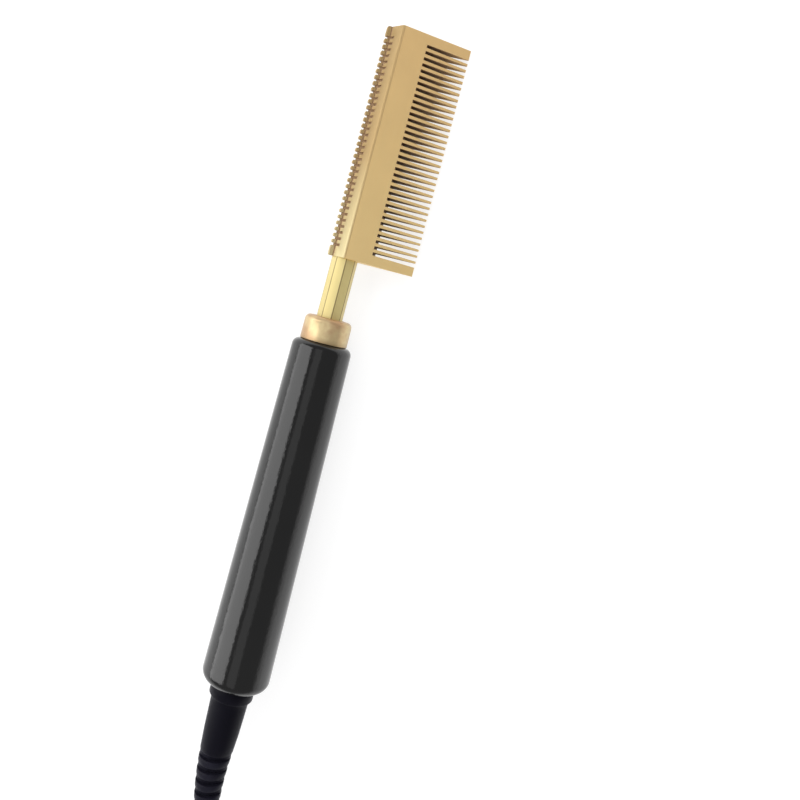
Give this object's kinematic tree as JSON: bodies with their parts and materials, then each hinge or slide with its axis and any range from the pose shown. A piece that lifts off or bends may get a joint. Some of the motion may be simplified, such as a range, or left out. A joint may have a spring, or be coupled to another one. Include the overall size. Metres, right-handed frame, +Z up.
{
  "type": "hot comb",
  "caption": "Electric straightening comb with brass head, octagonal rod, gloss black handle, ribbed strain relief, flat cord with rocker switch and two-blade plug.",
  "frame": {"origin": "on the floor under the middle of the comb and its strain relief, measured without the cord", "axes": "+X along the comb from the strain relief to the head, -Y towards the long teeth, +Z up"},
  "size_m": [0.6613, 0.042, 0.0377],
  "materials": {
    "brass": "brushed satin",
    "handle_gloss": "gloss with slight ripples",
    "boot": "satin",
    "cord": "satin",
    "switch_case": "fine matte",
    "rocker": "gloss",
    "plug": "satin",
    "blade": "nickel plate",
    "tie": "matte",
    "steel": "zinc plated",
    "ceramic": "unglazed",
    "mica": "pressed mica",
    "resistance_wire": "oxidised",
    "lead_insulation": "glass braid",
    "glass_sleeve": "glass braid",
    "tinned_copper": "tinned",
    "core_insulation": "smooth",
    "nylon": "natural",
    "contact_brass": "plain"
  },
  "bodies": {
    "root": {"comb_head": "brass", "rod_tube": "brass", "ferrule": "brass", "handle": "handle_gloss", "strain_relief": "boot", "heater_core": "ceramic", "heater_winding": "resistance_wire", "heater_sleeve": "mica", "heater_end_bead": "ceramic", "ferrule_washer": "mica", "rod_nut": "steel", "nut_washer": "steel", "heater_leads": "lead_insulation", "crimp_joints": "tinned_copper", "thermal_fuse": "tinned_copper", "fuse_sleeve": "glass_sleeve", "supply_cores": "core_insulation", "cord_inner_end": "cord", "cord_clamp": "nylon", "cord_to_switch": "cord", "cord_to_hank": "cord", "cord_hank": "cord", "cord_tie": "tie", "cord_to_plug": "cord", "plug_body": "plug", "plug_blades": "blade", "switch_upper_case": "switch_case", "switch_lower_case": "switch_case", "rocker_pin": "steel", "fixed_contacts": "contact_brass", "detent_spring": "steel", "switch_screws": "steel", "switch_cores": "core_insulation"},
    "rocker": {"switch_rocker": "rocker", "moving_contact": "contact_brass"}
  },
  "joints": [
    {"name": "rocker_tilt", "type": "hinge", "parent": "root", "child": "rocker", "pos_m": [-0.33922, 0.006, 0.0136], "axis": [0, 1, 0], "range_deg": [0, 14]}
  ]
}
